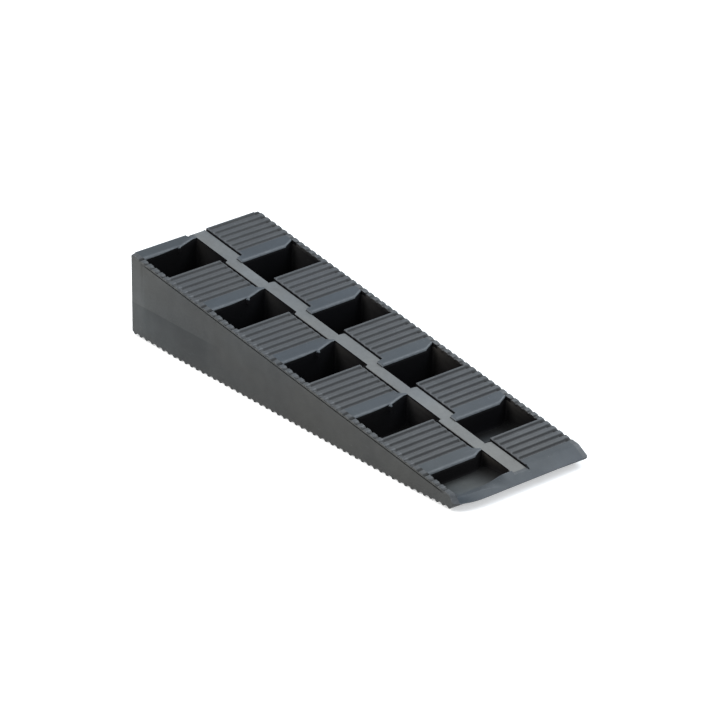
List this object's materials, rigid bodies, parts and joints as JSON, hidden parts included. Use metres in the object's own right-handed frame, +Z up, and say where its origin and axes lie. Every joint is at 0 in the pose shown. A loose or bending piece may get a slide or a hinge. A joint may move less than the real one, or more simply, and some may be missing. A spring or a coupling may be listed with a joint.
{
  "type": "ramp leveler",
  "caption": "Moulded plastic wedge ramp for levelling a caravan wheel, with staggered ribbed treads and open pockets on both sides of a smooth centre rail.",
  "frame": {"origin": "on the ground in the middle of the footprint", "axes": "+X from the tall heel down to the thin toe, +Y from the near pocket column to the far one, +Z up"},
  "size_m": [0.5196, 0.17, 0.094],
  "materials": {
    "wall_plastic": "fine moulded texture, slightly mottled, satin",
    "tread_plastic": "slate moulded plastic, satin, light scuffs on the rib crests",
    "rail_plastic": "smooth lighter grey moulded plastic, satin",
    "inner_plastic": "dark moulded plastic inside the pockets, matt"
  },
  "bodies": {
    "root": {"near_side_wall": "wall_plastic", "far_side_wall": "wall_plastic", "heel_wall": "wall_plastic", "near_heel_land": "tread_plastic", "near_tread_1": "tread_plastic", "near_tread_2": "tread_plastic", "near_tread_3": "tread_plastic", "near_tread_4": "tread_plastic", "far_tread_1": "tread_plastic", "far_tread_2": "tread_plastic", "far_tread_3": "tread_plastic", "far_tread_4": "tread_plastic", "far_tread_5": "tread_plastic", "toe_plate": "tread_plastic", "centre_rail": "rail_plastic", "near_centre_web": "inner_plastic", "far_centre_web": "inner_plastic", "near_pocket_floor_1": "inner_plastic", "near_pocket_floor_2": "inner_plastic", "near_pocket_floor_3": "inner_plastic", "near_pocket_floor_4": "inner_plastic", "near_pocket_floor_5": "inner_plastic", "far_pocket_floor_1": "inner_plastic", "far_pocket_floor_2": "inner_plastic", "far_pocket_floor_3": "inner_plastic", "far_pocket_floor_4": "inner_plastic", "near_upper_web_1": "inner_plastic", "near_upper_web_2": "inner_plastic", "near_upper_web_3": "inner_plastic", "near_upper_web_4": "inner_plastic", "near_upper_web_5": "inner_plastic", "near_lower_web_1": "inner_plastic", "near_lower_web_2": "inner_plastic", "near_lower_web_3": "inner_plastic", "near_lower_web_4": "inner_plastic", "far_upper_web_1": "inner_plastic", "far_upper_web_2": "inner_plastic", "far_upper_web_3": "inner_plastic", "far_upper_web_4": "inner_plastic", "far_lower_web_1": "inner_plastic", "far_lower_web_2": "inner_plastic", "far_lower_web_3": "inner_plastic", "far_lower_web_4": "inner_plastic"}
  },
  "joints": []
}
